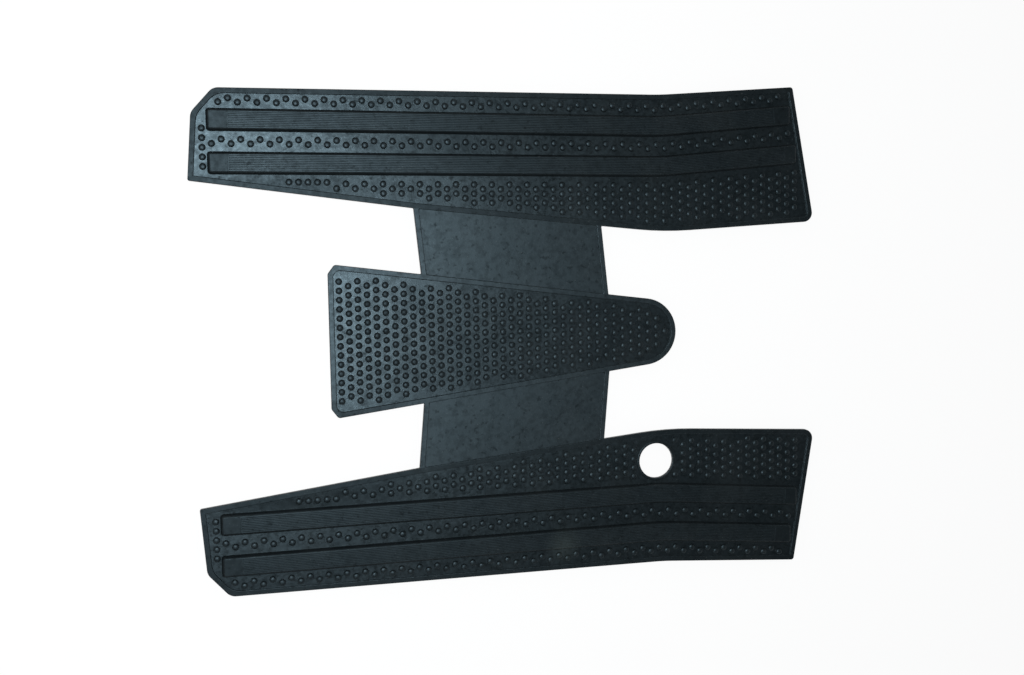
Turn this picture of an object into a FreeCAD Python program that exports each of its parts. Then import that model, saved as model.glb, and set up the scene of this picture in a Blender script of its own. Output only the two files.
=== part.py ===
import FreeCAD, Part
import math
import os
from FreeCAD import Vector

# A moulded rubber floor mat for a step-through scooter, in millimetres.
# X runs to the front, Y to the left and Z up; the origin is under the middle of the mat.
# The left half is drawn and mirrored. The pedal hole is on the right alone.

# Runner outline. Widths are measured across the mat, setbacks along it.
mat_length = 531.4
front_width = 418.0
bend_width = 402.2
rear_width = 406.0
bend_setback = 142.0
inner_bend_lead = 4.0
front_rake = 19.8
rear_rake = 5.6
bend_radius = 250.0
inner_bend_radius = 300.0
rear_cut_length = 16.0
rear_cut_width = 19.5
rear_cut_radius = 10.0
front_outer_radius = 2.5
front_inner_radius = 8.0
rear_inner_radius = 1.5

# Across a runner: an outer strip, a foot bar, a gap, another foot bar and an inner strip.
outer_strip_rear = 16.1
outer_strip_bend = 18.1
outer_strip_front = 13.9
bar_width = 17.4
bar_spacing = 16.4
inner_strip_rear = 5.2
inner_strip_web = 26.7
inner_strip_bend = 46.8
inner_strip_front = 51.4

# Web between the runners, with swept edges, and the tongue along its middle.
web_setback = 177.4
web_length = 157.8
web_sweep = 5.4
tongue_setback = 106.5
tongue_length = 295.7
tongue_width = 126.3
tip_radius = 28.6
tongue_cut_length = 5.5
tongue_cut_width = 8.0
tongue_cut_radius = 3.0

# Section: a flat sheet with a raised lip along every edge.
sheet = 3.0
lip_width = 4.2
lip_height = 1.2

# Foot bars, two on each runner.
bar_height = 4.6
bar_draft = 1.4
bar_corner_cut = 2.6
bar_rear_setback = 15.8
bar_front_gap = 3.0

# Studs: four-sided points, in zigzag rows and staggered fields.
stud_pitch = 7.5
stud_width = 4.9
stud_height = 1.8
field_lip_gap = 1.35
tongue_lip_gap = 1.95
stud_front_gap = 3.0
stud_rim_gap = 0.4
outer_zigzag = 3.2
outer_zigzag_gap = 6.8
outer_zigzag_start = 9.5
middle_zigzag = 3.5
middle_zigzag_start = 3.5
end_column_count = 5
end_column_inset = 5.8
single_row_start = 62.4
single_row_count = 5
single_row_gap = 6.0
field_gap = 7.2
tongue_stud_start = 8.7

# Pedal hole in the right runner, with a raised rim.
hole_diameter = 30.2
hole_setback = 147.9
rim_width = 2.4
rim_height = 0.8
rim_to_bar = 2.0

front = mat_length / 2
rear = -mat_length / 2
lip_top = sheet + lip_height
bar_start = rear + bar_rear_setback

# The lane is the line midway between the bars. Distances from it, inward positive,
# to the outer side of each bar and to the edge of the inner strip.
outer_bar = -bar_spacing / 2 - bar_width
inner_bar = bar_spacing / 2
field_edge = inner_bar + bar_width

# Corners of the left runner's outer edge, points of its lane, and corners of its inner edge.
outer_rear = Vector(rear + rear_rake, rear_width / 2)
outer_bend = Vector(front - bend_setback, bend_width / 2)
outer_front = Vector(front - front_rake, front_width / 2)
lane_rear = Vector(rear, outer_rear.y - outer_strip_rear + outer_bar)
lane_bend = Vector(outer_bend.x, outer_bend.y - outer_strip_bend + outer_bar)
lane_front = Vector(front, outer_front.y - outer_strip_front + outer_bar)
inner_rear = Vector(rear, lane_rear.y - field_edge - inner_strip_rear)
inner_bend = Vector(lane_bend.x + inner_bend_lead, lane_bend.y - field_edge - inner_strip_bend)
inner_front = Vector(front, lane_front.y - field_edge - inner_strip_front)


def line_y(start, end, x):
    """Y at X on the line through two points."""
    return start.y + (end.y - start.y) * (x - start.x) / (end.x - start.x)


def line_x(start, end, y):
    """X at Y on the line through two points."""
    return start.x + (end.x - start.x) * (y - start.y) / (end.y - start.y)


def lane_corner(inset):
    """Corner of a line that runs a set distance inside the lane."""
    sides = []
    for start, end in ((lane_rear, lane_bend), (lane_bend, lane_front)):
        along = end.sub(start).normalize()
        sides.append(Vector(-along.y, along.x))
    middle = sides[0].add(sides[1]).normalize()
    return lane_bend.sub(middle * (inset / middle.dot(sides[0])))


def lane_y(x, inset):
    """Y at X on a line that runs a set distance inside the lane."""
    corner = lane_corner(inset)
    end = lane_front if x > corner.x else lane_rear
    return line_y(lane_bend, end, x - corner.x + lane_bend.x) + corner.y - lane_bend.y


def rounded_face(corners):
    """Plan face through (x, y, radius) corners, each rounded by a tangent arc."""
    bends = []
    for i, (x, y, radius) in enumerate(corners):
        corner = Vector(x, y)
        back = Vector(*corners[i - 1][:2]).sub(corner).normalize()
        ahead = Vector(*corners[(i + 1) % len(corners)][:2]).sub(corner).normalize()
        half = back.getAngle(ahead) / 2
        reach = radius / math.tan(half)
        middle = corner + back.add(ahead).normalize() * (radius / math.sin(half) - radius)
        bends.append((corner + back * reach, middle, corner + ahead * reach, radius))
    edges = []
    for i, (begin, middle, end, radius) in enumerate(bends):
        edges.append(Part.makeLine(bends[i - 1][2], begin))
        if radius > 0:
            edges.append(Part.Arc(begin, middle, end).toShape())
    return Part.Face(Part.Wire(edges))


def prism(face, bottom, height):
    """Upright solid on a plan face."""
    return face.translated(Vector(0, 0, bottom)).extrude(Vector(0, 0, height))


def mirrored(shape):
    """The same shape on the right-hand side."""
    return shape.mirror(Vector(0, 0, 0), Vector(0, 1, 0))


def web_joint():
    """Where the web's rear edge meets the left runner."""
    x = rear + web_setback
    return Vector(x, lane_y(x, field_edge + inner_strip_web))


def web_edge_x(y, ahead):
    """X at Y on a swept line across the web, a set distance ahead of its rear edge."""
    joint = web_joint()
    return joint.x + ahead + (joint.y - abs(y)) * math.tan(math.radians(web_sweep))


def runner_plan():
    """Left runner seen from above."""
    cut_y = outer_rear.y - rear_cut_width
    cut_x = outer_rear.x + rear_cut_length
    joint = web_joint()
    return rounded_face([
        (line_x(outer_rear, inner_rear, cut_y), cut_y, rear_cut_radius),
        (cut_x, line_y(outer_rear, outer_bend, cut_x), rear_cut_radius),
        (outer_bend.x, outer_bend.y, bend_radius),
        (outer_front.x, outer_front.y, front_outer_radius),
        (inner_front.x, inner_front.y, front_inner_radius),
        (inner_bend.x, inner_bend.y, inner_bend_radius),
        (joint.x, joint.y, 0),
        (inner_rear.x, inner_rear.y, rear_inner_radius),
    ])


def tongue_plan():
    """Tongue: a long triangle with its rear corners cut and its front point rounded."""
    start = rear + tongue_setback
    half = tongue_width / 2
    run = tongue_length - tip_radius
    taper = math.acos(tip_radius / math.hypot(half, run)) - math.atan2(run, half)
    cut_y = half - tongue_cut_width
    side_y = half - tongue_cut_length * math.tan(taper)
    return rounded_face([
        (start, cut_y, tongue_cut_radius),
        (start + tongue_cut_length, side_y, tongue_cut_radius),
        (start + half / math.tan(taper), 0, tip_radius),
        (start + tongue_cut_length, -side_y, tongue_cut_radius),
        (start, -cut_y, tongue_cut_radius),
    ])


def web_plan(border):
    """Swept band across the middle, less a border along its front and rear edges."""
    step = border / math.cos(math.radians(web_sweep))
    reach = max(web_joint().y, inner_bend.y) + lip_width
    rear_side = [(web_edge_x(y, step), y, 0) for y in (-reach, 0, reach)]
    front_side = [(web_edge_x(y, web_length - step), y, 0) for y in (reach, 0, -reach)]
    return rounded_face(rear_side + front_side)


def bar_plan(edge, inset):
    """Plan of a foot bar whose outer side is a set distance from the lane, with cut corners."""
    outer = edge + inset
    inner = edge + bar_width - inset
    middle_y = lane_y(outer_front.x, edge + bar_width / 2)
    start = bar_start + inset
    end = line_x(inner_front, outer_front, middle_y) - lip_width - bar_front_gap - inset
    cut = bar_corner_cut - inset * (2 - math.sqrt(2))
    outer_bend_point = lane_corner(outer)
    inner_bend_point = lane_corner(inner)
    return rounded_face([
        (start, lane_y(start, outer + cut), 0),
        (start + cut, lane_y(start + cut, outer), 0),
        (outer_bend_point.x, outer_bend_point.y, bend_radius + outer),
        (end - cut, lane_y(end - cut, outer), 0),
        (end, lane_y(end, outer + cut), 0),
        (end, lane_y(end, inner - cut), 0),
        (end - cut, lane_y(end - cut, inner), 0),
        (inner_bend_point.x, inner_bend_point.y, bend_radius + inner),
        (start + cut, lane_y(start + cut, inner), 0),
        (start, lane_y(start, inner - cut), 0),
    ])


def foot_bar(edge):
    """Foot bar with drafted walls, standing on the sheet."""
    foot = bar_plan(edge, 0).OuterWire.translated(Vector(0, 0, sheet))
    crown = bar_plan(edge, bar_draft).OuterWire.translated(Vector(0, 0, sheet + bar_height))
    return Part.makeLoft([foot, crown], True, True)


def stud():
    """One pointed stud, with its root sunk in the sheet by a quarter of its height."""
    root = stud_height / 4
    half = stud_width / 2 * (stud_height + root) / stud_height
    tip = Vector(0, 0, sheet + stud_height)
    signs = ((1, 1), (-1, 1), (-1, -1), (1, -1))
    ring = [Vector(half * x, half * y, sheet - root) for x, y in signs]
    faces = [Part.Face(Part.makePolygon(ring + ring[:1]))]
    for i, corner in enumerate(ring):
        faces.append(Part.Face(Part.makePolygon([ring[i - 1], corner, tip, ring[i - 1]])))
    return Part.Solid(Part.Shell(faces))


def room(face, x, y):
    """Clear distance from a point to the edge of the plan face round it."""
    tolerance = 0.001
    if not face.isInside(Vector(x, y), tolerance, True):
        return 0
    return face.OuterWire.distToShape(Part.Vertex(x, y, 0))[0]


def clear_of_front(x, y):
    """Whether a stud stops short of the lip along the runner's front edge."""
    return x + stud_width / 2 + stud_front_gap + lip_width < line_x(inner_front, outer_front, y)


def zigzag_row(start, middle, swing):
    """Studs that step from side to side of a line beside the lane, from the rear to the front."""
    places = []
    x = start
    side = 1
    while clear_of_front(x, lane_y(x, middle)):
        places.append((x, lane_y(x, middle + side * swing / 2)))
        x += stud_pitch
        side = -side
    return places


def end_column():
    """Short column of studs behind the rear ends of the bars."""
    x = bar_start - stud_pitch / 2
    insets = [field_edge - end_column_inset - i * stud_pitch for i in range(end_column_count)]
    return [(x, lane_y(x, inset)) for inset in insets]


def stud_field(runner, swap_x):
    """Studs inside the inner bar: one row at the rear, then a staggered field that widens.

    The stagger changes over at swap_x.
    """
    places = []
    needed = lip_width + field_lip_gap + stud_width / 2
    column = 0
    x = bar_start + single_row_start
    while clear_of_front(x, lane_y(x, field_edge)):
        if column < single_row_count:
            places.append((x, lane_y(x, field_edge + single_row_gap)))
        else:
            half_step = (column + int(x > swap_x)) % 2 / 2
            inset = field_edge + field_gap + half_step * stud_pitch
            places.append((x, lane_y(x, inset)))
            inset += stud_pitch
            while room(runner, x, lane_y(x, inset)) > needed:
                places.append((x, lane_y(x, inset)))
                inset += stud_pitch
        column += 1
        x += stud_pitch
    return places


def tongue_studs(tongue):
    """Staggered field of studs over the whole tongue."""
    places = []
    needed = lip_width + tongue_lip_gap + stud_width / 2
    columns = int(tongue_length / stud_pitch)
    rows = int(tongue_width / stud_pitch)
    for column in range(columns):
        x = rear + tongue_setback + tongue_stud_start + column * stud_pitch
        half_step = (column + 1) % 2 / 2
        for row in range(-rows, rows):
            y = (row + half_step) * stud_pitch
            if room(tongue, x, y) > needed:
                places.append((x, y))
    return places


def runner_studs(runner, swap_x):
    """All stud places on the left runner."""
    outer_line = outer_bar - outer_zigzag_gap
    places = zigzag_row(bar_start + outer_zigzag_start, outer_line, outer_zigzag)
    places += zigzag_row(bar_start + middle_zigzag_start, 0, middle_zigzag)
    return places + end_column() + stud_field(runner, swap_x)


def hole_place():
    """Centre of the pedal hole, beside the right runner's inner bar."""
    x = front - hole_setback
    return Vector(x, -lane_y(x, field_edge + rim_to_bar + rim_width + hole_diameter / 2))


def mat_sheet(runner, tongue):
    """Sheet with the floors of the runners, tongue and web sunk below the lips."""
    runners = [runner, mirrored(runner)]
    plan = [prism(face, 0, lip_top) for face in runners + [tongue, web_plan(0)]]
    whole = plan[0].fuse(plan[1:]).removeSplitter()
    floors = [prism(face.makeOffset2D(-lip_width), sheet, lip_height) for face in runners + [tongue]]
    panels = prism(web_plan(lip_width), sheet, lip_height).cut(plan[:3])
    return whole.cut(floors + [panels])


def floor_mat():
    """The whole mat as one solid, moved so that the origin is under the middle of its box."""
    runner = runner_plan()
    tongue = tongue_plan()
    centre = hole_place()
    rim_radius = hole_diameter / 2 + rim_width
    clear = rim_radius + stud_width / 2 + stud_rim_gap
    places = runner_studs(runner, front) + tongue_studs(tongue)
    for x, y in runner_studs(runner, centre.x):
        if math.hypot(x - centre.x, y + centre.y) > clear:
            places.append((x, -y))
    point = stud()
    raised = [point.translated(Vector(x, y)) for x, y in places]
    for edge in (outer_bar, inner_bar):
        bar = foot_bar(edge)
        raised += [bar, mirrored(bar)]
    raised.append(Part.makeCylinder(rim_radius, sheet + rim_height, centre))
    hole = Part.makeCylinder(hole_diameter / 2, lip_top, centre)
    mat = mat_sheet(runner, tongue).fuse(raised).cut(hole).removeSplitter()
    return mat.translated(Vector(-mat.BoundBox.Center.x, 0))


os.makedirs("parts", exist_ok=True)
floor_mat().exportStep("parts/floor_mat.step")
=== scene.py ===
import math

import bpy
from mathutils import Matrix, Vector
from mathutils.geometry import delaunay_2d_cdt


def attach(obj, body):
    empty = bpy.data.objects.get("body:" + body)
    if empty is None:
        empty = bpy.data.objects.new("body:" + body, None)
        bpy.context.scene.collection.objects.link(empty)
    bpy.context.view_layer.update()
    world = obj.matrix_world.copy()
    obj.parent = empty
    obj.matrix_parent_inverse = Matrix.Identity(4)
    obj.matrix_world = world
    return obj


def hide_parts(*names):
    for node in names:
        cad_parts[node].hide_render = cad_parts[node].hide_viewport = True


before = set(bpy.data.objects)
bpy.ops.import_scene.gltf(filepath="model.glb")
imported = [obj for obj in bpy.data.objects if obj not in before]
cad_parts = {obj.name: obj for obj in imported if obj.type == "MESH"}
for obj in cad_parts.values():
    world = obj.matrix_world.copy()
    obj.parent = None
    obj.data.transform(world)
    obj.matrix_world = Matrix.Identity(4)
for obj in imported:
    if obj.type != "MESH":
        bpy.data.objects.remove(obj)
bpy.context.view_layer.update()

# The moulded mat, drawn in millimetres in the frame of the CAD part and scaled to metres at the end.
# X runs to the front, Y to the left and Z up. The left half is drawn and mirrored.
millimetre = 0.001

# Runner outline, as in the part.
mat_length = 531.4
front_width = 418.0
bend_width = 402.2
rear_width = 406.0
bend_setback = 142.0
inner_bend_lead = 4.0
front_rake = 19.8
rear_rake = 5.6
bend_radius = 250.0
inner_bend_radius = 300.0
rear_cut_length = 16.0
rear_cut_width = 19.5
rear_cut_radius = 10.0
front_outer_radius = 2.5
front_inner_radius = 8.0
rear_inner_radius = 1.5

# Strips across a runner, as in the part.
outer_strip_rear = 16.1
outer_strip_bend = 18.1
outer_strip_front = 13.9
bar_width = 17.4
bar_spacing = 16.4
inner_strip_rear = 5.2
inner_strip_web = 26.7
inner_strip_bend = 46.8
inner_strip_front = 51.4

# Web and tongue, as in the part. The corners where outlines meet are eased a little.
web_setback = 177.4
web_length = 157.8
web_sweep = math.radians(5.4)
tongue_setback = 106.5
tongue_length = 295.7
tongue_width = 126.3
tip_radius = 28.6
tongue_cut_length = 5.5
tongue_cut_width = 8.0
tongue_cut_radius = 3.0
runner_lip_round = 10.0
tongue_lip_round = 6.5
joint_radius = 0.8
panel_radius = 1.2

# Heights and lips, as in the part.
sheet = 3.0
lip_width = 4.2
lip_height = 1.2
bar_height = 4.6
bar_draft = 1.4
bar_rear_setback = 15.8
bar_front_gap = 3.0
stud_height = 1.8
hole_diameter = 30.2
hole_setback = 147.9
rim_width = 2.4
rim_height = 0.8
rim_to_bar = 2.0

# Detail that the part leaves out: round corners, rounded studs and the grooves along the bars.
bar_corner_radius = 3.0
stud_radius = 2.85
stud_sides = 16
hole_sides = 64
groove_count = 9
groove_pitch = 1.38
groove_width = 0.62
groove_floor = 0.1
groove_depth = 0.27
groove_margin = 0.2
rear_pad = 15.6
outer_front_pad = 14.4
inner_front_pad = 13.4
cross_groove = 1.0
cross_slope = 0.25

# Steps of the arcs, the least radius of a corner, and tolerances.
arc_step = math.radians(6)
least_arc_steps = 4
least_radius = 0.3
lane_steps = 10
tip_tolerance = 0.01
fill_tolerance = 1e-5

front = mat_length / 2
rear = -mat_length / 2
lip_top = sheet + lip_height
bar_top = sheet + bar_height
stud_top = sheet + stud_height
bar_start = rear + bar_rear_setback

# Distances from the lane midway between the bars, inward positive.
outer_bar = -bar_spacing / 2 - bar_width
inner_bar = bar_spacing / 2
field_edge = inner_bar + bar_width

# Corners of the left runner's outer edge, points of its lane, and corners of its inner edge.
outer_rear = Vector((rear + rear_rake, rear_width / 2))
outer_bend = Vector((front - bend_setback, bend_width / 2))
outer_front = Vector((front - front_rake, front_width / 2))
lane_rear = Vector((rear, outer_rear.y - outer_strip_rear + outer_bar))
lane_bend = Vector((outer_bend.x, outer_bend.y - outer_strip_bend + outer_bar))
lane_front = Vector((front, outer_front.y - outer_strip_front + outer_bar))
inner_rear = Vector((rear, lane_rear.y - field_edge - inner_strip_rear))
inner_bend = Vector((lane_bend.x + inner_bend_lead, lane_bend.y - field_edge - inner_strip_bend))
inner_front = Vector((front, lane_front.y - field_edge - inner_strip_front))

# Sections as (step, height) pairs: steps inward from an outline, or outward from a circle.
edge_section = [
    (0.35, 0.0), (0.1, 0.1), (0.0, 0.35), (0.0, lip_top - 0.45),
    (0.06, lip_top - 0.2), (0.2, lip_top - 0.05), (0.45, lip_top),
]
lip_section = [
    (-0.4, lip_top), (-0.16, lip_top - 0.06), (-0.03, lip_top - 0.25),
    (0.03, sheet + 0.3), (0.1, sheet + 0.1), (0.25, sheet),
]
bar_section = [
    (-0.4, sheet), (-0.18, sheet + 0.06), (0.0, sheet + 0.25), (0.1, sheet + 0.55),
    (bar_draft - 0.4, bar_top - 1.05),
    (bar_draft - 0.1, bar_top - 0.5), (bar_draft + 0.3, bar_top - 0.14), (bar_draft + 0.8, bar_top),
]
stud_section = [
    (0.0, sheet), (-0.07, sheet + 0.4), (-0.31, sheet + 1.1),
    (-0.8, sheet + 1.5), (-1.7, sheet + 1.73),
]
hole_section = [
    (rim_width, sheet), (rim_width - 0.1, sheet + 0.5), (rim_width - 0.4, sheet + rim_height),
    (0.4, sheet + rim_height), (0.1, sheet + rim_height - 0.12), (0.0, sheet + rim_height - 0.4),
    (0.0, 0.35), (0.35, 0.0),
]

# Finishes: the runners' lips, the bars, the edges and the underside are matte, the studded floors satin,
# the web, the tongue's lip and the slopes of all lips plain, and the grooves and studs trodden.
matte, satin, plain, trodden = 0, 1, 2, 3
rubber_black = (0.0055, 0.0078, 0.0090)
rubber_dust = (0.013, 0.016, 0.017)
rubber_speck = (0.045, 0.050, 0.052)
rubber_pale_patch = (0.022, 0.028, 0.027)
sheen_tint = (0.615, 0.86, 1.0)
rubber_ior = 1.5

# Places in metres where dirt dulls the sheen, each with its reach and the share of the sheen left.
dull_floors = [
    ((-0.195, 0.124, 0.003), (0.16, 0.035, 0.05), 0.3),
    ((-0.195, -0.124, 0.003), (0.16, 0.035, 0.05), 0.3),
    ((-0.09, 0.16, 0.003), (0.17, 0.03, 0.05), 0.7),
]
dull_lips = [((-0.14, -0.06, 0.004), (0.08, 0.02, 0.05), 0.5)]
dull_studs = [((-0.13, 0.0, 0.005), (0.16, 0.1, 0.05), 0.55)]

# Place in metres of a paler patch in the colour of a bar, and its reach.
pale_patch_place = (0.034, -0.181, 0.0076)
pale_patch_reach = (0.02, 0.02, 0.02)

# Depths of the rubber's slow swell and fine pores, and the direction and slimness of its scratches.
swell_depth = 0.12
pore_depth = 0.05
scratch_turn = 0.9
scratch_slimness = 0.06

# Soft box, in metres and watts.
lamp_place = (-0.32, 0.085, 1.4)
lamp_size = 0.62
lamp_power = 16.0
lamp_colour = (0.95, 0.985, 1.0)

# Light of the room: white in directions up to one Z, fading to dim from another Z up.
white_below = 0.12
white_level = 1.0
dim_above = 0.66
dim_level = 0.08

# Floor in metres, and the share of plain white in it where it is looked at.
floor_reach = 60.0
floor_drop = 0.0002
paper_colour = (0.9, 0.9, 0.9)
paper_glow = 1.05
paper_glow_share = 0.8

# Camera in metres, with its sensor and lens in millimetres.
camera_place = Vector((-0.21502, 0.06617, 0.95441))
camera_look = Vector((0.2128, -0.06908, -0.97465))
camera_up = Vector((0.03315, 0.99743, -0.06346))
camera_sensor = 36.0
camera_lens = 40.963


def line_x(start, end, y):
    """X at Y on the line through two points."""
    return start.x + (end.x - start.x) * (y - start.y) / (end.y - start.y)


def line_y(start, end, x):
    """Y at X on the line through two points."""
    return start.y + (end.y - start.y) * (x - start.x) / (end.x - start.x)


def meet(first, second):
    """Where two lines, each given by two points, cross."""
    along = first[1] - first[0]
    other = second[1] - second[0]
    return first[0] + along * ((second[0] - first[0]).cross(other) / along.cross(other))


def left_of(direction):
    """Direction turned a quarter turn to the left."""
    return Vector((-direction.y, direction.x))


def lane_corner(inset):
    """Corner of a line that runs a set distance inside the lane."""
    sides = []
    for start, end in ((lane_rear, lane_bend), (lane_bend, lane_front)):
        sides.append(left_of((end - start).normalized()))
    middle = (sides[0] + sides[1]).normalized()
    return lane_bend - middle * (inset / middle.dot(sides[0]))


def lane_y(x, inset):
    """Y at X on a line that runs a set distance inside the lane."""
    corner = lane_corner(inset)
    end = lane_front if x > corner.x else lane_rear
    return line_y(lane_bend, end, x - corner.x + lane_bend.x) + corner.y - lane_bend.y


def rounded_loop(corners, inset):
    """Closed line through (point, radius) corners, counter-clockwise, rounded and moved inward."""
    points = []
    for i, (corner, radius) in enumerate(corners):
        arrive = (corner - corners[i - 1][0]).normalized()
        leave = (corners[(i + 1) % len(corners)][0] - corner).normalized()
        turn = math.atan2(arrive.cross(leave), arrive.dot(leave))
        side = left_of(arrive)
        moved = corner + (side + left_of(leave)) * (inset / (1 + arrive.dot(leave)))
        bend = math.copysign(max(radius - math.copysign(inset, turn), least_radius), turn)
        begin = moved - arrive * (bend * math.tan(turn / 2))
        centre = begin + side * bend
        steps = max(least_arc_steps, math.ceil(abs(turn) / arc_step))
        for step in range(steps + 1):
            points.append(centre + Matrix.Rotation(turn * step / steps, 2) @ (begin - centre))
    return points


def circle(centre, radius, sides):
    """Points of a circle, counter-clockwise."""
    angles = [2 * math.pi * i / sides for i in range(sides)]
    return [centre + Vector((math.cos(a), math.sin(a))) * radius for a in angles]


def inside(loop, point):
    """Whether a point lies inside a closed line."""
    odd = False
    for i, end in enumerate(loop):
        start = loop[i - 1]
        if (start.y > point.y) != (end.y > point.y) and line_x(start, end, point.y) > point.x:
            odd = not odd
    return odd


def other_side(corners):
    """The same (point, radius) corners mirrored to the right, still counter-clockwise."""
    return [(Vector((p.x, -p.y)), radius) for p, radius in reversed(corners)]


def web_joint():
    """Where the web's rear edge meets the left runner."""
    x = rear + web_setback
    return Vector((x, lane_y(x, field_edge + inner_strip_web)))


def web_line(ahead):
    """Swept line across the left half of the web, a set distance ahead of its rear edge."""
    joint = web_joint()
    middle = joint.x + ahead + joint.y * math.tan(web_sweep)
    return Vector((middle, 0)), Vector((joint.x + ahead, joint.y))


def tongue_side():
    """Left side of the tongue, from its rear end to the point where both sides would meet."""
    start = rear + tongue_setback
    half = tongue_width / 2
    run = tongue_length - tip_radius
    taper = math.acos(tip_radius / math.hypot(half, run)) - math.atan2(run, half)
    return Vector((start, half)), Vector((start + half / math.tan(taper), 0))


def tongue_rear_corners(radius):
    """Cut corner at the rear of the tongue's left side."""
    side = tongue_side()
    cut_x = side[0].x + tongue_cut_length
    return [
        (Vector((cut_x, line_y(*side, cut_x))), radius),
        (Vector((side[0].x, side[0].y - tongue_cut_width)), radius),
    ]


def tongue_corners():
    """Outline of the tongue, rounder at its cut corners, as its lip is on the inside."""
    left = tongue_rear_corners(tongue_cut_radius + tongue_lip_round)
    return [(tongue_side()[1], tip_radius)] + left + other_side(left)


def runner_outer_corners(cut_radius):
    """Left runner's outline from its inner bend, round the front and the outer side, to its rear."""
    cut_x = outer_rear.x + rear_cut_length
    cut_y = outer_rear.y - rear_cut_width
    return [
        (inner_bend, inner_bend_radius),
        (inner_front, front_inner_radius),
        (outer_front, front_outer_radius),
        (outer_bend, bend_radius),
        (Vector((cut_x, line_y(outer_rear, outer_bend, cut_x))), cut_radius),
        (Vector((line_x(outer_rear, inner_rear, cut_y), cut_y)), cut_radius),
        (inner_rear, rear_inner_radius),
    ]


def runner_corners():
    """Outline of the left runner, rounder at its cut corner, as its lip is on the inside."""
    return runner_outer_corners(rear_cut_radius + runner_lip_round) + [(web_joint(), joint_radius)]


def mat_corners():
    """Outline of the whole mat."""
    side = tongue_side()
    inner_edge = (web_joint(), inner_bend)
    rear_edge = web_line(0)
    front_edge = web_line(web_length)
    left = [
        (meet(front_edge, side), joint_radius),
        (meet(front_edge, inner_edge), joint_radius),
        *runner_outer_corners(rear_cut_radius),
        (web_joint(), joint_radius),
        (meet(rear_edge, side), joint_radius),
        *tongue_rear_corners(tongue_cut_radius),
    ]
    return [(side[1], tip_radius)] + left + other_side(left)


def panel_corners():
    """Outline of the web's sunk panel between the tongue and the left runner."""
    step = lip_width / math.cos(web_sweep)
    inner_edge = (web_joint(), inner_bend)
    rear_line = web_line(step)
    front_line = web_line(web_length - step)
    corners = [
        meet(rear_line, tongue_side()),
        meet(front_line, tongue_side()),
        meet(front_line, inner_edge),
        meet(rear_line, inner_edge),
    ]
    return [(corner, panel_radius) for corner in corners]


def bar_end(edge):
    """X of the front end of a foot bar whose outer side is a set distance from the lane."""
    middle_y = lane_y(outer_front.x, edge + bar_width / 2)
    return line_x(inner_front, outer_front, middle_y) - lip_width - bar_front_gap


def bar_corners(edge):
    """Outline of a foot bar on the left runner."""
    inner = edge + bar_width
    end = bar_end(edge)
    return [
        (Vector((bar_start, lane_y(bar_start, inner))), bar_corner_radius),
        (lane_corner(inner), bend_radius + inner),
        (Vector((end, lane_y(end, inner))), bar_corner_radius),
        (Vector((end, lane_y(end, edge))), bar_corner_radius),
        (lane_corner(edge), bend_radius + edge),
        (Vector((bar_start, lane_y(bar_start, edge))), bar_corner_radius),
    ]


def hole_centre():
    """Centre of the pedal hole in the right runner."""
    x = front - hole_setback
    return Vector((x, -lane_y(x, field_edge + rim_to_bar + rim_width + hole_diameter / 2)))


def stud_places(shift):
    """Places of the studs: the CAD part has a point at the tip of each."""
    places = set()
    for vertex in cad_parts["floor_mat"].data.vertices:
        x, y, z = vertex.co / millimetre
        if abs(z - stud_top) < tip_tolerance:
            places.add((round(x - shift, 2), round(y, 2)))
    return [Vector(place) for place in sorted(places)]


class Skin:
    """Vertices and faces of one closed mesh, added ring by ring."""

    def __init__(self):
        self.points = []
        self.faces = []
        self.finishes = []
        self.smooth = []

    def face(self, corners, finish, smooth):
        """Adds one face by its vertex numbers."""
        self.faces.append(corners)
        self.finishes.append(finish)
        self.smooth.append(smooth)

    def ring(self, loop, z):
        """Adds a closed line at one height and returns its vertex numbers."""
        first = len(self.points)
        self.points += [(p.x, p.y, z) for p in loop]
        return list(range(first, len(self.points)))

    def band(self, outer, inner, finish):
        """Faces between two rings of equal length."""
        for i in range(len(outer)):
            self.face((outer[i - 1], outer[i], inner[i], inner[i - 1]), finish, True)

    def walls(self, corners, section, inset, finish):
        """Bands along an outline that follow a section; returns the first and last rings."""
        rings = [self.ring(rounded_loop(corners, inset + step), z) for step, z in section]
        for outer, inner in zip(rings, rings[1:]):
            self.band(outer, inner, finish)
        return rings[0], rings[-1]

    def turned(self, centre, radius, section, sides, finish):
        """Bands round a circle that follow a section; returns the first and last rings."""
        rings = [self.ring(circle(centre, radius + step, sides), z) for step, z in section]
        for outer, inner in zip(rings, rings[1:]):
            self.band(outer, inner, finish)
        return rings[0], rings[-1]

    def fill(self, outer, holes, finish, upward=True):
        """Flat faces inside one ring and outside the others."""
        rings = [outer] + holes
        numbers = [n for ring in rings for n in ring]
        owners = [i for i, ring in enumerate(rings) for n in ring]
        flat = [Vector(self.points[n][:2]) for n in numbers]
        edges = []
        for ring in rings:
            first = len(edges)
            edges += [(first + i, first + (i + 1) % len(ring)) for i in range(len(ring))]
        only_inside = 1
        made = delaunay_2d_cdt(flat, edges, [], only_inside, fill_tolerance)
        for face in made[2]:
            places = [made[3][n][0] for n in face]
            if not self.in_hole(places, owners):
                corners = [numbers[n] for n in places]
                self.face(tuple(corners if upward else reversed(corners)), finish, False)

    def refinish(self, first, finish, chosen):
        """Gives another finish to the faces from a number on whose centre is chosen."""
        for number in range(first, len(self.faces)):
            corners = [Vector(self.points[n][:2]) for n in self.faces[number]]
            if chosen(sum(corners, Vector((0, 0))) / len(corners)):
                self.finishes[number] = finish

    @staticmethod
    def in_hole(places, owners):
        """Whether a triangle joins three points of one inner ring, in the ring's own order."""
        a, b, c = places
        if owners[a] == 0 or not owners[a] == owners[b] == owners[c]:
            return False
        return a < b < c or b < c < a or c < a < b


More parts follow.
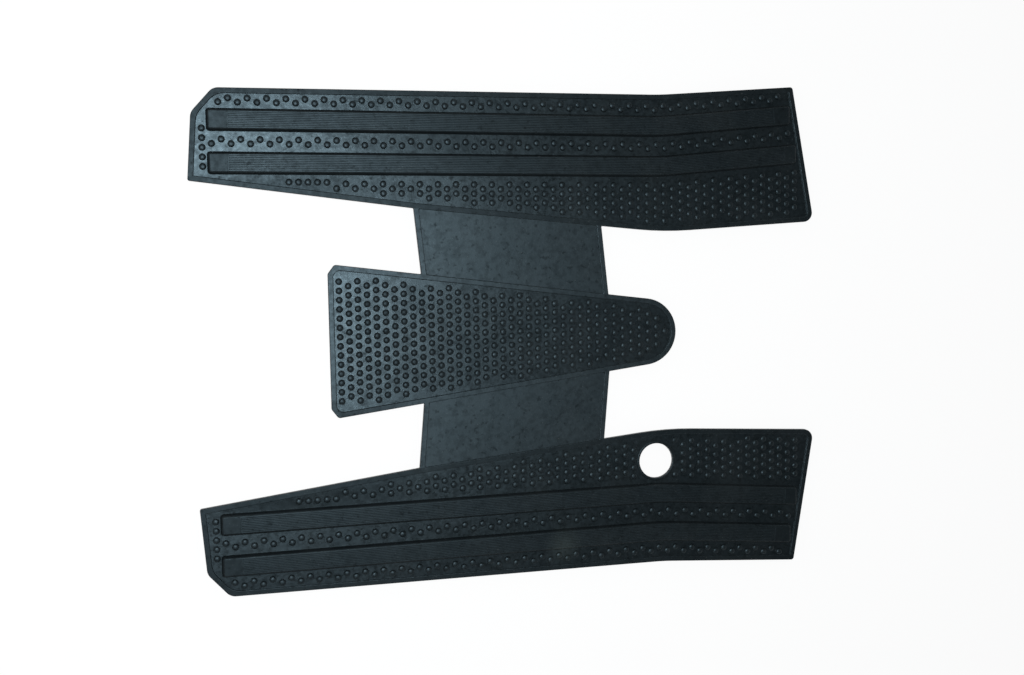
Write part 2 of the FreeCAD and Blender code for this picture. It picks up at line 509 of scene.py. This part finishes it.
def add_stud(skin, place):
    """One rounded stud; returns the ring where it meets the floor."""
    foot, crown = skin.turned(place, stud_radius, stud_section, stud_sides, trodden)
    skin.points.append((place.x, place.y, stud_top))
    tip = len(skin.points) - 1
    for i in range(stud_sides):
        skin.face((crown[i - 1], crown[i], tip), trodden, True)
    return foot


def lane_stations(edge, front_pad):
    """Stations along a bar's grooves: a point of the lane, the direction outward, and two depths.

    The depths are those of the lands and of the grooves. A cross groove ends each run.
    """
    rear_way = (lane_bend - lane_rear).normalized()
    front_way = (lane_front - lane_bend).normalized()
    turn = math.atan2(rear_way.cross(front_way), rear_way.dot(front_way))
    tangent = bend_radius * math.tan(turn / 2)
    centre = lane_bend - rear_way * tangent + left_of(rear_way) * bend_radius
    ends = [
        (0.0, 0.0, 0.0),
        (cross_slope, groove_depth, groove_depth),
        (cross_groove - cross_slope, groove_depth, groove_depth),
        (cross_groove, 0.0, groove_depth),
    ]
    stations = []
    for step, land, groove in ends:
        x = bar_start + rear_pad + step
        stations.append((Vector((x, line_y(lane_rear, lane_bend, x))), left_of(rear_way), land, groove))
    for step in range(lane_steps + 1):
        outward = Matrix.Rotation(turn * step / lane_steps, 2) @ left_of(rear_way)
        stations.append((centre - outward * bend_radius, outward, 0.0, groove_depth))
    for step, land, groove in reversed(ends):
        x = bar_end(edge) - front_pad - step
        stations.append((Vector((x, line_y(lane_bend, lane_front, x))), left_of(front_way), land, groove))
    return stations


def groove_profile():
    """Positions across a bar from its middle line, each with its share of land and of groove depth."""
    half = groove_count * groove_pitch / 2
    profile = [(-half - groove_margin, 0, 0), (-half, 1, 0)]
    for i in range(groove_count):
        middle = (i + 0.5) * groove_pitch - half
        profile.append((middle - groove_width / 2, 1, 0))
        profile.append((middle - groove_floor / 2, 0, 1))
        profile.append((middle + groove_floor / 2, 0, 1))
        profile.append((middle + groove_width / 2, 1, 0))
    return profile + [(half, 1, 0), (half + groove_margin, 0, 0)]


def add_grooves(skin, edge, front_pad, mirror):
    """Grooved top of one foot bar; returns the ring round it."""
    middle = edge + bar_width / 2
    rows = []
    for point, outward, land, groove in lane_stations(edge, front_pad):
        row = []
        for across, land_share, groove_share in groove_profile():
            place = point - outward * (middle + across)
            depth = land * land_share + groove * groove_share
            row.append(len(skin.points))
            skin.points.append((place.x, place.y * mirror, bar_top - depth))
        rows.append(row if mirror < 0 else row[::-1])
    for here, there in zip(rows, rows[1:]):
        for i in range(1, len(here)):
            skin.face((here[i - 1], there[i - 1], there[i], here[i]), trodden, False)
    one_side = [row[0] for row in rows]
    other = [row[-1] for row in rows]
    return other[::-1] + rows[0][::-1][1:-1] + one_side + rows[-1][1:-1]


def add_bar(skin, edge, front_pad, mirror):
    """One foot bar; returns the ring where it meets the floor."""
    corners = bar_corners(edge)
    if mirror < 0:
        corners = other_side(corners)
    foot, crown = skin.walls(corners, bar_section, 0, matte)
    skin.fill(crown, [add_grooves(skin, edge, front_pad, mirror)], matte)
    return foot


def mat_skin(shift):
    """The whole surface of the mat."""
    skin = Skin()
    under, crest = skin.walls(mat_corners(), edge_section, 0, matte)
    hole_foot, hole_under = skin.turned(hole_centre(), hole_diameter / 2, hole_section, hole_sides, matte)
    skin.fill(under, [hole_under], matte, upward=False)

    runner = runner_corners()
    floors = []
    for corners in (runner, other_side(runner), tongue_corners()):
        floors.append(skin.walls(corners, lip_section, lip_width, plain))
    panels = []
    for corners in (panel_corners(), other_side(panel_corners())):
        panels.append(skin.walls(corners, lip_section, 0, plain))
    first_of_crest = len(skin.faces)
    skin.fill(crest, [lip for lip, floor in floors + panels], matte)
    edge = runner_outer_corners(rear_cut_radius) + [(web_joint(), joint_radius)]
    edges = [rounded_loop(corners, 0) for corners in (edge, other_side(edge))]
    skin.refinish(first_of_crest, plain, lambda centre: not any(inside(loop, centre) for loop in edges))
    for lip, floor in panels:
        skin.fill(floor, [], plain)

    # Rings left open in the floors of the left runner, the right runner and the tongue.
    holes = [[], [hole_foot], []]
    for side, mirror in enumerate((1, -1)):
        holes[side].append(add_bar(skin, outer_bar, outer_front_pad, mirror))
        holes[side].append(add_bar(skin, inner_bar, inner_front_pad, mirror))
    loops = [[Vector(skin.points[n][:2]) for n in floor] for lip, floor in floors]
    for place in stud_places(shift):
        side = [inside(loop, place) for loop in loops].index(True)
        holes[side].append(add_stud(skin, place))
    for (lip, floor), inner in zip(floors, holes):
        skin.fill(floor, inner, satin)
    return skin


def add_node(tree, kind, **values):
    """Shader node with its properties or input values set."""
    node = tree.nodes.new(kind)
    for name, value in values.items():
        if name in node.bl_rna.properties:
            setattr(node, name, value)
        else:
            node.inputs[name.replace("_", " ")].default_value = value
    return node


def ranged(tree, value, low, high, least, most, interpolation="LINEAR"):
    """Link whose range from low to high is mapped to least and most."""
    node = add_node(tree, "ShaderNodeMapRange", interpolation_type=interpolation)
    for name, level in (("From Min", low), ("From Max", high), ("To Min", least), ("To Max", most)):
        node.inputs[name].default_value = level
    tree.links.new(value, node.inputs["Value"])
    return node.outputs["Result"]


def noise(tree, coords, scale, detail, low, high, least, most):
    """Noise at a scale in cycles a metre, with part of its range mapped to least and most."""
    texture = add_node(tree, "ShaderNodeTexNoise", Scale=scale, Detail=detail)
    tree.links.new(coords, texture.inputs["Vector"])
    return ranged(tree, texture.outputs["Fac"], low, high, least, most)


def mixed(tree, factor, first, second):
    """Colour mixed from two colours or links by a factor."""
    node = add_node(tree, "ShaderNodeMix", data_type="RGBA")
    tree.links.new(factor, node.inputs[0])
    for socket, value in ((node.inputs[6], first), (node.inputs[7], second)):
        if isinstance(value, tuple):
            socket.default_value = (*value, 1)
        else:
            tree.links.new(value, socket)
    return node.outputs[2]


def scratches(tree, coords, most):
    """Fine scratches along one direction: noise drawn out to thin lines."""
    drawn = add_node(tree, "ShaderNodeMapping")
    drawn.inputs["Rotation"].default_value = (0, 0, scratch_turn)
    drawn.inputs["Scale"].default_value = (scratch_slimness, 1, 1)
    tree.links.new(coords, drawn.inputs["Vector"])
    lines = drawn.outputs["Vector"]
    return noise(tree, lines, scale=900, detail=2, low=0.66, high=0.76, least=0.0, most=most)


def joined(tree, operation, first, second):
    """Two links joined by a sum or another operation."""
    node = add_node(tree, "ShaderNodeMath", operation=operation)
    tree.links.new(first, node.inputs[0])
    tree.links.new(second, node.inputs[1])
    return node.outputs[0]


def near(tree, coords, place, reach, there, away):
    """Value that goes from one level at a place to another at its reach along X, Y and Z."""
    scaled = add_node(tree, "ShaderNodeVectorMath", operation="DIVIDE")
    tree.links.new(coords, scaled.inputs[0])
    scaled.inputs[1].default_value = reach
    apart = add_node(tree, "ShaderNodeVectorMath", operation="DISTANCE")
    tree.links.new(scaled.outputs["Vector"], apart.inputs[0])
    apart.inputs[1].default_value = [p / r for p, r in zip(place, reach)]
    return ranged(tree, apart.outputs["Value"], 0.0, 1.0, there, away, "SMOOTHSTEP")


def bump(tree, height, strength, depth, normal=None):
    """Normal of a surface with a relief of a depth in millimetres, on top of another normal if given."""
    node = add_node(tree, "ShaderNodeBump", Strength=strength, Distance=depth * millimetre)
    tree.links.new(height, node.inputs["Height"])
    if normal:
        tree.links.new(normal, node.inputs["Normal"])
    return node.outputs["Normal"]


def rubber(name, dull_places, shine, dull, roughness, swing, grain):
    """Black rubber: dusty patches and specks, a sheen broken by smudges and scratches, a fine grain.

    The sheen goes from shine to dull in the smudges, and falls to a share of that in the dull places.
    """
    material = bpy.data.materials.new(name)
    material.use_nodes = True
    tree = material.node_tree
    shader = tree.nodes["Principled BSDF"]
    shader.inputs["IOR"].default_value = rubber_ior
    shader.inputs["Specular Tint"].default_value = (*sheen_tint, 1)
    coords = add_node(tree, "ShaderNodeTexCoord").outputs["Object"]

    patches = noise(tree, coords, scale=30, detail=6, low=0.4, high=0.75, least=0.0, most=0.6)
    specks = noise(tree, coords, scale=650, detail=2, low=0.66, high=0.74, least=0.0, most=0.7)
    # Paler patch in the base colour at one place on a bar, fading out at its reach.
    pale_patch = near(tree, coords, pale_patch_place, pale_patch_reach, there=1.0, away=0.0)
    dusty = mixed(tree, patches, rubber_black, rubber_dust)
    with_pale_patch = mixed(tree, pale_patch, dusty, rubber_pale_patch)
    tree.links.new(mixed(tree, specks, with_pale_patch, rubber_speck), shader.inputs["Base Color"])

    smudges = noise(tree, coords, scale=190, detail=9, low=0.46, high=0.66, least=shine, most=dull)
    stains = noise(tree, coords, scale=240, detail=4, low=0.60, high=0.70, least=1.0, most=0.5)
    sheen = joined(tree, "MULTIPLY", smudges, stains)
    for place, reach, share in dull_places:
        sheen = joined(tree, "MULTIPLY", sheen, near(tree, coords, place, reach, there=share, away=1.0))
    shader.inputs["Specular IOR Level"].default_value = (shine + dull) / 2
    tree.links.new(sheen, shader.inputs["Specular IOR Level"])

    smooth, rough = roughness - swing, roughness + swing
    uneven = noise(tree, coords, scale=320, detail=8, low=0.3, high=0.7, least=smooth, most=rough)
    scratched = joined(tree, "ADD", uneven, scratches(tree, coords, -swing))
    tree.links.new(scratched, shader.inputs["Roughness"])

    waves = noise(tree, coords, scale=45, detail=3, low=0.2, high=0.8, least=0.0, most=1.0)
    pores = noise(tree, coords, scale=800, detail=5, low=0.25, high=0.75, least=0.0, most=1.0)
    swell = bump(tree, waves, 1.0, swell_depth)
    tree.links.new(bump(tree, pores, grain, pore_depth, swell), shader.inputs["Normal"])
    return material


def mat_object(skin, shift):
    """The mat as a mesh object in metres, with its four finishes."""
    mesh = bpy.data.meshes.new("moulded_mat")
    points = [((x + shift) * millimetre, y * millimetre, z * millimetre) for x, y, z in skin.points]
    mesh.from_pydata(points, [], skin.faces)
    mesh.polygons.foreach_set("material_index", skin.finishes)
    mesh.polygons.foreach_set("use_smooth", skin.smooth)
    for material in (
        rubber("rubber_matte", [], shine=0.30, dull=0.22, roughness=0.44, swing=0.05, grain=0.4),
        rubber("rubber_satin", dull_floors, shine=0.62, dull=0.38, roughness=0.32, swing=0.07, grain=0.5),
        rubber("rubber_plain", dull_lips, shine=0.60, dull=0.43, roughness=0.42, swing=0.06, grain=0.4),
        rubber("rubber_trodden", dull_studs, shine=0.47, dull=0.36, roughness=0.42, swing=0.06, grain=0.4),
    ):
        mesh.materials.append(material)
    mesh.update()
    mat = bpy.data.objects.new("moulded_mat", mesh)
    bpy.context.scene.collection.objects.link(mat)
    return mat


def floor_object():
    """Large pale floor just under the mat."""
    mesh = bpy.data.meshes.new("floor")
    signs = [(-1, -1), (1, -1), (1, 1), (-1, 1)]
    corners = [(x * floor_reach, y * floor_reach, -floor_drop) for x, y in signs]
    mesh.from_pydata(corners, [], [(0, 1, 2, 3)])
    mesh.materials.append(floor_material())
    floor = bpy.data.objects.new("floor", mesh)
    bpy.context.scene.collection.objects.link(floor)
    return floor


def floor_material():
    """White paper: mostly plain white where it is looked at or mirrored, so that shadows are faint."""
    material = bpy.data.materials.new("paper")
    material.use_nodes = True
    tree = material.node_tree
    tree.nodes.clear()
    paper = add_node(tree, "ShaderNodeBsdfDiffuse", Color=(*paper_colour, 1))
    white = add_node(tree, "ShaderNodeEmission", Color=(1, 1, 1, 1), Strength=paper_glow)
    rays = add_node(tree, "ShaderNodeLightPath").outputs
    seen = rays["Is Camera Ray"]
    for name in ("Is Glossy Ray", "Is Transmission Ray"):
        seen = joined(tree, "MAXIMUM", seen, rays[name])
    share = add_node(tree, "ShaderNodeMath", operation="MULTIPLY")
    share.inputs[1].default_value = paper_glow_share
    tree.links.new(seen, share.inputs[0])
    blend = add_node(tree, "ShaderNodeMixShader")
    tree.links.new(share.outputs[0], blend.inputs[0])
    tree.links.new(paper.outputs[0], blend.inputs[1])
    tree.links.new(white.outputs[0], blend.inputs[2])
    output = add_node(tree, "ShaderNodeOutputMaterial")
    tree.links.new(blend.outputs[0], output.inputs["Surface"])
    return material


def light_scene():
    """One soft box over the rear of the mat, and a room that is white at the horizon and dim above."""
    lamp = bpy.data.lights.new("soft_box", "AREA")
    lamp.shape = "SQUARE"
    lamp.size = lamp_size
    lamp.energy = lamp_power
    lamp.color = lamp_colour
    box = bpy.data.objects.new("soft_box", lamp)
    box.location = lamp_place
    bpy.context.scene.collection.objects.link(box)

    world = bpy.data.worlds.new("studio")
    world.use_nodes = True
    tree = world.node_tree
    coords = add_node(tree, "ShaderNodeTexCoord").outputs["Generated"]
    split = add_node(tree, "ShaderNodeSeparateXYZ")
    tree.links.new(coords, split.inputs[0])
    climb = split.outputs["Z"]
    level = ranged(tree, climb, white_below, dim_above, white_level, dim_level, "SMOOTHSTEP")
    tree.links.new(level, tree.nodes["Background"].inputs["Strength"])
    tree.nodes["Background"].inputs["Color"].default_value = (1, 1, 1, 1)
    bpy.context.scene.world = world


def place_camera():
    """Camera at the angle of the photograph."""
    look = camera_look.normalized()
    right = look.cross(camera_up).normalized()
    turned = Matrix((right, right.cross(look), -look)).transposed()
    lens = bpy.data.cameras.new("camera")
    lens.sensor_width = camera_sensor
    lens.lens = camera_lens
    camera = bpy.data.objects.new("camera", lens)
    camera.matrix_world = Matrix.Translation(camera_place) @ turned.to_4x4()
    bpy.context.scene.collection.objects.link(camera)
    bpy.context.scene.camera = camera


outline = rounded_loop(mat_corners(), 0)
centring = -(min(p.x for p in outline) + max(p.x for p in outline)) / 2
mat = mat_object(mat_skin(centring), centring)
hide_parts("floor_mat")
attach(mat, "root")
floor_object()
light_scene()
place_camera()
bpy.context.scene.view_settings.view_transform = "Standard"
